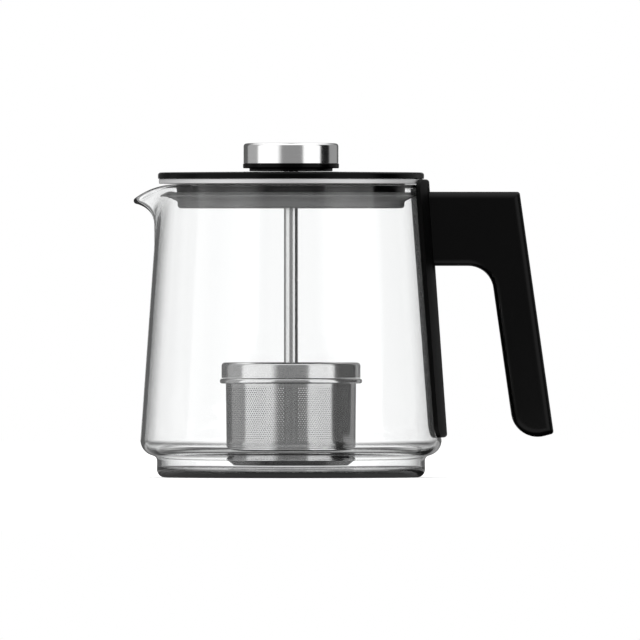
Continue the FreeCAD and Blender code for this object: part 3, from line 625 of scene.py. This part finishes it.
new_piece("glass_jug", jug_mesh(), "jug", ["jug_glass"], "clear_glass", GLASS_SHARP)

# Strap and handle

from_solid("strap", "handle_strap", "jug", "strap_black")
from_solid("handle", "handle_shell", "jug", "handle_black")
from_solid("grip_cover", "handle_cover", "jug", "handle_black")
from_solid("handle_screw_set", "handle_screws", "jug", "screw_steel")

# Lid

COVER_RADIUS, COVER_LOW, COVER_TOP = 66.55, 149.3, 152.9
COVER_BORE = 6.2
RIM_SEAT = 146.8         # underside of the trim ring
SEAL_LOW, SEAL_TOP = 134.55, 142.5
SEAL_INNER, SEAL_OUTER, FLAP_ROOT, FLAP_TIP = 51.094, 56.694, 60.194, 63.994

turned("lid_disc", [(COVER_BORE, COVER_LOW, 0), (COVER_RADIUS, COVER_LOW, 0.4),
                    (COVER_RADIUS, 152.5, 1.4), (20.8, COVER_TOP, 0), (COVER_BORE, COVER_TOP, 0)],
       "lid", ["lid_cover"], "lid_black")
turned("trim_ring", sheet_corners([(62.5, RIM_SEAT, 0), (66.1, RIM_SEAT, 0.6),
                                   (66.1, COVER_LOW, 0.6), (53.994, COVER_LOW, 0)], 0.5),
       "lid", ["lid_trim_ring"], "trim_steel")
from_solid("plug", "lid_plug", "lid", "plug_black")
turned("seal", [(SEAL_INNER, SEAL_LOW, 0), (SEAL_OUTER, SEAL_LOW, 1.6), (SEAL_OUTER, 137.9, 1.3),
                (FLAP_ROOT, 139.6, 1.3), (FLAP_TIP, 140.35, 0.15), (FLAP_TIP, 140.85, 0.15),
                (FLAP_ROOT, SEAL_TOP, 0.15), (59.694, SEAL_TOP, 0.15), (59.694, 141.1, 0.15),
                (49.094, 141.1, 0), (49.094, 136.5, 0), (SEAL_INNER, 136.5, 0)],
       "lid", ["lid_seal"], "silicone")
from_solid("lid_screw_set", "lid_screws", "lid", "screw_steel")
from_solid("bush", "guide_bush", "lid", "bush_plastic")

# Knob and rod

CUP_RADIUS, CUP_LOW, CUP_TOP = 23.75, 157.05, 167.15
KNOB_RADIUS, KNOB_LOW, FLANGE_LOW, FLANGE_TOP, KNOB_TOP = 24.0, 153.1, 154.55, 157.0, 162.0
NECK_RADIUS, KNOB_BORE = 20.8, 3.6
ROD_RADIUS, ROD_LOW, ROD_TOP = 3.5, 6.55, 160.1
STUD_RADIUS, STUD_TOP = 2.45, 11.85
RING_MARKS = (75.8, 98.5)
MARK_HALF, MARK_RADIUS = 0.4, 3.38      # half a ring mark's width, and the rod's radius in it

turned("knob_cup", sheet_corners([(CUP_RADIUS, CUP_LOW, 0), (CUP_RADIUS, CUP_TOP, 1.6),
                                  (0, CUP_TOP, 0)], 0.7),
       "plunger", ["knob_cap"], "knob_steel")
turned("knob_foot", [(KNOB_BORE, KNOB_LOW, 0), (NECK_RADIUS, KNOB_LOW, 0.3),
                     (NECK_RADIUS, FLANGE_LOW, 0.3), (KNOB_RADIUS, FLANGE_LOW, 0.5),
                     (KNOB_RADIUS, FLANGE_TOP, 0.5), (22.9, FLANGE_TOP, 0),
                     (22.9, KNOB_TOP, 0.5), (KNOB_BORE, KNOB_TOP, 0)],
       "plunger", ["knob_base"], "lid_black")


def rod_outline():
    outline = [(0, ROD_LOW, 0), (STUD_RADIUS, ROD_LOW, 0.3), (STUD_RADIUS, STUD_TOP, 0),
               (ROD_RADIUS, STUD_TOP, 0.2)]
    for height in RING_MARKS:
        low, high = height - MARK_HALF, height + MARK_HALF
        outline += [(ROD_RADIUS, low, 0), (MARK_RADIUS, low, 0),
                    (MARK_RADIUS, high, 0), (ROD_RADIUS, high, 0)]
    return outline + [(ROD_RADIUS, ROD_TOP, 0.2), (0, ROD_TOP, 0)]


turned("rod", rod_outline(), "plunger", ["lift_rod"], "rod_steel",
       SMALL_TURN_STEPS)

# Basket

SHEET = 0.6              # thickness of base and cap
MESH_LOW, MESH_HIGH = 12.3, 49.2
MESH_RADIUS, MESH_TAPER, MESH_SHEET = 32.6, 0.35, 0.4
PLAIN_LOW, PLAIN_HIGH = 1.0, 2.6      # bands without holes
BAND_PROUD = 0.03        # how far the bands stand proud of the mesh
BAND_OVER_LOW, BAND_OVER_HIGH = 0.5, 1.2      # and reach over its edges
HOLES_AROUND = 160
HOLE_SHARE = 0.44        # of a hexagon's width
ROW_PER_COLUMN = math.sqrt(0.75)
MERGE, SHEET_MERGE = 0.02, 0.002      # distances at which points are one
BEAD_INNER, BEAD_OUTER, BEAD_LOW, BEAD_HIGH = 32.7, 35.6, 46.9, 49.5
CAP_RADIUS, CAP_LOW, CAP_TOP, CAP_WELL = 34.75, 49.75, 57.55, 56.75
GROMMET_BORE, GROMMET_GROOVE, GROMMET_RADIUS = 3.8, 5.95, 7.6

turned("basket_pan", sheet_corners([
    (2.5, 10.15, 0), (7.5, 10.15, 1.2), (9.6, 5.95, 1.2), (28.5, 5.95, 1.2), (32.0, 8.85, 1.2),
    (32.0, 11.3, 0.6), (31.4, 11.95, 0.6), (31.75, 12.45, 0.6), (31.75, 15.35, 0)], SHEET),
    "plunger", ["basket_base"], "polished_steel")


def perforated_wall():
    """Rows of hexagons round the wall, each with its own hole, given a thickness inwards."""
    group = bpy.data.node_groups.new("perforated_wall", "GeometryNodeTree")
    low, high = MESH_LOW + PLAIN_LOW, MESH_HIGH - PLAIN_HIGH
    row_step = 2 * math.pi * MESH_RADIUS / HOLES_AROUND * ROW_PER_COLUMN
    sizes = {"Holes Around": HOLES_AROUND, "Rows": round((high - low) / row_step) + 1, "Low": low,
             "High": high, "Low Radius": MESH_RADIUS - MESH_TAPER, "High Radius": MESH_RADIUS,
             "Sheet": MESH_SHEET, "Hole Share": HOLE_SHARE}
    sockets = {}
    for name, value in sizes.items():
        kind = "NodeSocketInt" if isinstance(value, int) else "NodeSocketFloat"
        sockets[name] = group.interface.new_socket(name, in_out="INPUT", socket_type=kind)
    sockets["Finish"] = group.interface.new_socket("Finish", in_out="INPUT",
                                                   socket_type="NodeSocketMaterial")
    group.interface.new_socket("Geometry", in_out="OUTPUT", socket_type="NodeSocketGeometry")
    tree = Tree(group)
    given = tree.add("NodeGroupInput").outputs
    around, rows, bottom, top, wide_low, wide_high, sheet, hole = [
        Amount(tree, given[name]) for name in sizes]
    grid = tree.add("GeometryNodeMeshGrid", None, {
        "Size X": around, "Size Y": rows + 1, "Vertices X": around + 1, "Vertices Y": rows + 2})
    across, up = tree.parts(tree.add("GeometryNodeInputPosition").outputs[0])[:2]
    column = across + around / 2
    row = (up + (rows + 1) / 2).calc("ROUND")
    angle = (column + (row % 2.0) / 2) * (2 * math.pi) / around
    rise = row / (rows + 1)
    radius = wide_low + (wide_high - wide_low) * rise
    wrapped = tree.add("GeometryNodeSetPosition", None, {
        "Geometry": grid.outputs["Mesh"],
        "Position": tree.point(angle.calc("COSINE") * radius, angle.calc("SINE") * radius,
                               bottom + (top - bottom) * rise)})
    closed = tree.add("GeometryNodeMergeByDistance", None,
                      {"Geometry": wrapped.outputs[0], "Distance": MERGE})
    triangles = tree.add("GeometryNodeTriangulate", {"quad_method": "SHORTEST_DIAGONAL"},
                         {"Mesh": closed.outputs[0]})
    hexagons = tree.add("GeometryNodeDualMesh", None, {"Mesh": triangles.outputs[0]})
    inset = tree.add("GeometryNodeExtrudeMesh", {"mode": "FACES"},
                     {"Mesh": hexagons.outputs[0], "Offset Scale": 0.0, "Individual": True})
    shrunk = tree.add("GeometryNodeScaleElements", {"domain": "FACE"}, {
        "Geometry": inset.outputs["Mesh"], "Selection": inset.outputs["Top"], "Scale": hole})
    holed = tree.add("GeometryNodeDeleteGeometry", {"domain": "FACE"},
                     {"Geometry": shrunk.outputs[0], "Selection": inset.outputs["Top"]})
    inner = tree.add("GeometryNodeExtrudeMesh", {"mode": "FACES"}, {
        "Mesh": holed.outputs[0], "Offset Scale": 0.0 - sheet, "Individual": False})
    turned_round = tree.add("GeometryNodeFlipFaces", None, {"Mesh": inner.outputs["Mesh"]})
    both = tree.add("GeometryNodeJoinGeometry")
    tree.links.new(holed.outputs[0], both.inputs[0])
    tree.links.new(turned_round.outputs[0], both.inputs[0])
    whole = tree.add("GeometryNodeMergeByDistance", None,
                     {"Geometry": both.outputs[0], "Distance": SHEET_MERGE})
    real = tree.add("GeometryNodeRealizeInstances", None, {"Geometry": whole.outputs[0]})
    coated = tree.add("GeometryNodeSetMaterial", None,
                      {"Geometry": real.outputs[0], "Material": given["Finish"]})
    tree.add("NodeGroupOutput", None, {"Geometry": coated.outputs[0]})

    blank = bpy.data.objects.new("perforated_wall", bpy.data.meshes.new("blank"))
    bpy.context.scene.collection.objects.link(blank)
    repeat = blank.modifiers.new("perforated_wall", "NODES")
    repeat.node_group = group
    for name, value in sizes.items():
        repeat[sockets[name].identifier] = value
    repeat[sockets["Finish"].identifier] = looks["mesh_steel"]
    settled = blank.evaluated_get(bpy.context.evaluated_depsgraph_get())
    mesh = bpy.data.meshes.new_from_object(settled)
    bpy.data.objects.remove(blank)
    return mesh


def basket_wall():
    """The perforated wall with the plain bands at its edges."""
    shape = bmesh.new()
    shape.from_mesh(perforated_wall())
    for low, high in ((MESH_LOW, MESH_LOW + PLAIN_LOW + BAND_OVER_LOW),
                      (MESH_HIGH - PLAIN_HIGH - BAND_OVER_HIGH, MESH_HIGH)):
        sides = []
        for height in (low, high):
            share = (height - MESH_LOW) / (MESH_HIGH - MESH_LOW)
            sides.append((MESH_RADIUS - MESH_TAPER * (1 - share) + BAND_PROUD, height, 0))
        spin(shape, rounded(sheet_corners(sides, MESH_SHEET + 2 * BAND_PROUD)))
    return shape


new_piece("basket_wall", basket_wall(), "plunger", ["basket_mesh"], "mesh_steel")
turned("basket_bead", [(BEAD_INNER, BEAD_LOW, 0.2), (BEAD_OUTER, BEAD_LOW, 1.15),
                       (BEAD_OUTER, BEAD_HIGH, 1.15), (BEAD_INNER, BEAD_HIGH, 0.2)],
       "plunger", ["basket_rim"], "polished_steel")
turned("basket_lid_cup", sheet_corners([
    (CAP_RADIUS, CAP_LOW, 0), (CAP_RADIUS, CAP_TOP, 1.8), (10.0, CAP_TOP, 0.4),
    (9.1, CAP_WELL, 0.4), (6.0, CAP_WELL, 0)], SHEET),
    "basket_lid", ["basket_cap"], "satin_steel")
turned("basket_lid_grommet", [
    (GROMMET_BORE, 55.0, 0.3), (GROMMET_RADIUS, 55.0, 0.3), (GROMMET_RADIUS, 56.1, 0),
    (GROMMET_GROOVE, 56.1, 0), (GROMMET_GROOVE, 56.8, 0), (GROMMET_RADIUS, 56.8, 0),
    (GROMMET_RADIUS, 57.45, 0.3), (GROMMET_BORE, 57.45, 0.3)],
    "basket_lid", ["cap_grommet"], "silicone", SMALL_TURN_STEPS)

# Hidden pieces keep the CAD's own meshes
for look, nodes in (("bond", ("strap_adhesive",)), ("brass", ("handle_inserts",)),
                    ("silicone", ("rod_grip_ring",)),
                    ("screw_steel", ("bush_clip", "knob_washer", "knob_screw", "rod_washer",
                                     "rod_nut"))):
    for node in nodes:
        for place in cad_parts[node].material_slots:
            place.material = looks[look]


# Floor, world, lamp and camera

# Level of each panel between two turns from the front, in degrees, positive to the right
PANELS = ((-180, -173, 1.05), (-171, -131, 0.12), (-129, -89, 0.42), (-87, -33, 1.25),
          (-22, 28, 0.3), (31, 75, 1.25), (78, 106, 0.012), (108, 149, 0.33),
          (151, 171, 0.12), (173, 180, 1.05))
# Level behind the glass by the degrees from the nearest of the main views
SCREEN = ((0.0, 1.08), (4.0, 1.11), (5.5, 1.04), (9.0, 0.85), (13.0, 0.58), (17.0, 0.33),
          (22.5, 0.1), (34.0, 0.01))
VIEWS = 8.0              # main views, evenly spread round the object
SCREEN_REACH = 45.0      # degrees that the screen's levels run over
BEHIND = 0.475           # share of the whole turn from the front where the back begins
MOST_WALLS = 3.5         # sides of glass that a ray within the glass has gone through
DEGREES = 57.3           # in a radian
SKY = 0.85               # above, in mirrors
SKY_FROM, SKY_TO = 0.35, 0.75       # upward parts of the direction where it fades in
SOFT_LEVEL = 0.75        # of the light on matt surfaces
PAINTED_SHADE_IN_MIRRORS = 0.03       # painted shadow: the floor close under the jug, in mirrors
FLOOR_TILT = 0.6         # how much the floor near the jug is taken as far below it, which paints a dark ring of shade round the jug through the glass
JUG_REACH, LEAST_REACH = 0.06, 0.01      # that this counts from, and the least; in metres
NEAR_FLOOR, FAR_FLOOR = 0.062, 0.09      # where that painted shadow on the floor in mirrors fades out, in metres
PAINTED_SHADE_THROUGH_GLASS = 0.4       # painted shadow: the floor under the jug, straight through the glass
UNDER_JUG = (0.054, 0.064)               # where that painted shadow ends, in metres
FLOOR_HALF = 3.0         # metres
FLOOR_SHADE, FLOOR_GLOW = 0.92, 0.45


def studio_shades(tree, x, y, tilt):
    """What the studio shows in a direction, to mirrors and through glass, and if it is behind.

    tilt is the angle from the horizontal, in degrees."""
    turn = x.calc("ARCTAN2", 0.0 - y) / (2 * math.pi) + 0.5
    stops = []
    for low, high, shade in PANELS:
        stops += [((low + 180) / 360, shade), ((high + 180) / 360, shade)]
    panels = tree.ramp(turn, stops)
    half_view = 180 / VIEWS
    away = half_view - ((turn * VIEWS) % 1.0 - 0.5).calc("ABSOLUTE") * (2 * half_view)
    away = (away * away + tilt * tilt).calc("SQRT")
    screen = tree.ramp(away / SCREEN_REACH, [(at / SCREEN_REACH, shade) for at, shade in SCREEN])
    behind = (turn - 0.5).calc("ABSOLUTE").calc("GREATER_THAN", BEHIND)
    return panels, screen, behind


def ray_kinds(tree):
    """Straight to the eye; mirrored before; the same within a wall of glass; and any ray that
    was mirrored or went through glass but never scattered."""
    path = tree.add("ShaderNodeLightPath").outputs
    looking = Amount(tree, path["Is Camera Ray"])
    bounced = Amount(tree, path["Glossy Depth"]).calc("GREATER_THAN", 0.5)
    walls = Amount(tree, path["Transmission Depth"])
    within = walls.calc("GREATER_THAN", 0.5) * walls.calc("LESS_THAN", MOST_WALLS) * bounced
    sent_on = Amount(tree, path["Is Transmission Ray"]).calc(
        "MAXIMUM", Amount(tree, path["Is Glossy Ray"]))
    scattered = Amount(tree, path["Diffuse Depth"]).calc("GREATER_THAN", 0.5)
    return looking, bounced, within, sent_on * (1.0 - scattered)


def seen_by_rays(tree, bounced, darkened, panels, screen):
    """Panels to mirrors, the screen through glass, and the darker of both where darkened is 1."""
    return tree.blend(darkened, tree.blend(bounced, screen, panels), screen, "DARKEN")


def white_floor():
    """White to the eye, with painted shadow dark close under the jug to mirrors, and a screen
    through glass that paints shade under and round the jug.
    """
    shape = bmesh.new()
    corners = [(-FLOOR_HALF, -FLOOR_HALF, 0), (FLOOR_HALF, -FLOOR_HALF, 0),
               (FLOOR_HALF, FLOOR_HALF, 0), (-FLOOR_HALF, FLOOR_HALF, 0)]
    shape.faces.new([shape.verts.new(corner) for corner in corners])
    mesh = bpy.data.meshes.new("floor")
    shape.to_mesh(mesh)
    shape.free()
    material = bpy.data.materials.new("floor_white")
    tree = bare_tree(material)
    x, y = tree.place()[:2]
    reach = (x * x + y * y).calc("SQRT")
    # Painted shade: near the jug the floor counts as far below, so the screen turns it dark there
    tilt = FLOOR_TILT / (reach - JUG_REACH).calc("MAXIMUM", LEAST_REACH)
    panels, screen, behind = studio_shades(tree, x, y, tilt)
    looking, bounced, within, sent_on = ray_kinds(tree)
    # Painted shadow: the floor close under the jug turns dark to mirrors
    panels = tree.blend(reach.eased(NEAR_FLOOR, FAR_FLOOR), PAINTED_SHADE_IN_MIRRORS, panels)
    # Painted shadow: the floor under the jug turns grey through the glass
    screen = tree.blend(reach.eased(*UNDER_JUG), PAINTED_SHADE_THROUGH_GLASS, screen)
    matt = tree.add("ShaderNodeBsdfDiffuse", None, {"Color": grey(FLOOR_SHADE)})
    glow = tree.add("ShaderNodeEmission", None,
                    {"Color": grey(1.0), "Strength": looking * FLOOR_GLOW})
    plain = tree.add("ShaderNodeAddShader", None, {0: matt.outputs[0], 1: glow.outputs[0]})
    darkened = within.calc("MAXIMUM", behind)
    lit = tree.add("ShaderNodeEmission", None,
                   {"Color": seen_by_rays(tree, bounced, darkened, panels, screen)})
    both = tree.add("ShaderNodeMixShader", None,
                    {0: sent_on, 1: plain.outputs[0], 2: lit.outputs[0]})
    tree.add("ShaderNodeOutputMaterial", None, {"Surface": both.outputs[0]})
    mesh.materials.append(material)
    floor = bpy.data.objects.new("floor", mesh)
    bpy.context.scene.collection.objects.link(floor)


def studio_world():
    """White to the eye, panels of light to mirrors, and a bright screen to rays through glass."""
    world = bpy.data.worlds.new("studio")
    bpy.context.scene.world = world
    tree = bare_tree(world)
    x, y, z = tree.parts(tree.add("ShaderNodeTexCoord").outputs["Generated"])
    panels, screen, behind = studio_shades(tree, x, y, z.calc("ARCSINE") * DEGREES)
    looking, bounced, within, sent_on = ray_kinds(tree)
    mirrored = tree.blend(z.eased(SKY_FROM, SKY_TO), panels, SKY)
    darkened = within.calc("MAXIMUM", behind)
    soft = tree.blend(sent_on, SOFT_LEVEL,
                      seen_by_rays(tree, bounced, darkened, mirrored, screen))
    light = tree.add("ShaderNodeBackground", None, {"Color": tree.blend(looking, soft, 1.0)})
    tree.add("ShaderNodeOutputWorld", None, {"Surface": light.outputs[0]})


def stand(name, data, place, target):
    """A lamp or camera at a place, turned to look at a target."""
    holder = bpy.data.objects.new(name, data)
    holder.location = place
    holder.rotation_euler = (Vector(target) - Vector(place)).to_track_quat("-Z", "Y").to_euler()
    bpy.context.scene.collection.objects.link(holder)
    return holder


white_floor()
studio_world()

overhead = bpy.data.lights.new("overhead", "AREA")
overhead.size = 2.3
overhead.energy = 9.5
stand("overhead", overhead, (0.0, 0.1, 1.4), (0.0, 0.0, 0.08))

camera_data = bpy.data.cameras.new("camera")
camera_data.lens = 1650.0
camera_data.sensor_width = 36.0
camera_data.clip_end = 30.0
camera = stand("camera", camera_data, (0.0145, -14.667, 0.1039), (0.0145, 0.0, 0.0787))
bpy.context.scene.camera = camera
bpy.context.scene.view_settings.view_transform = "Standard"
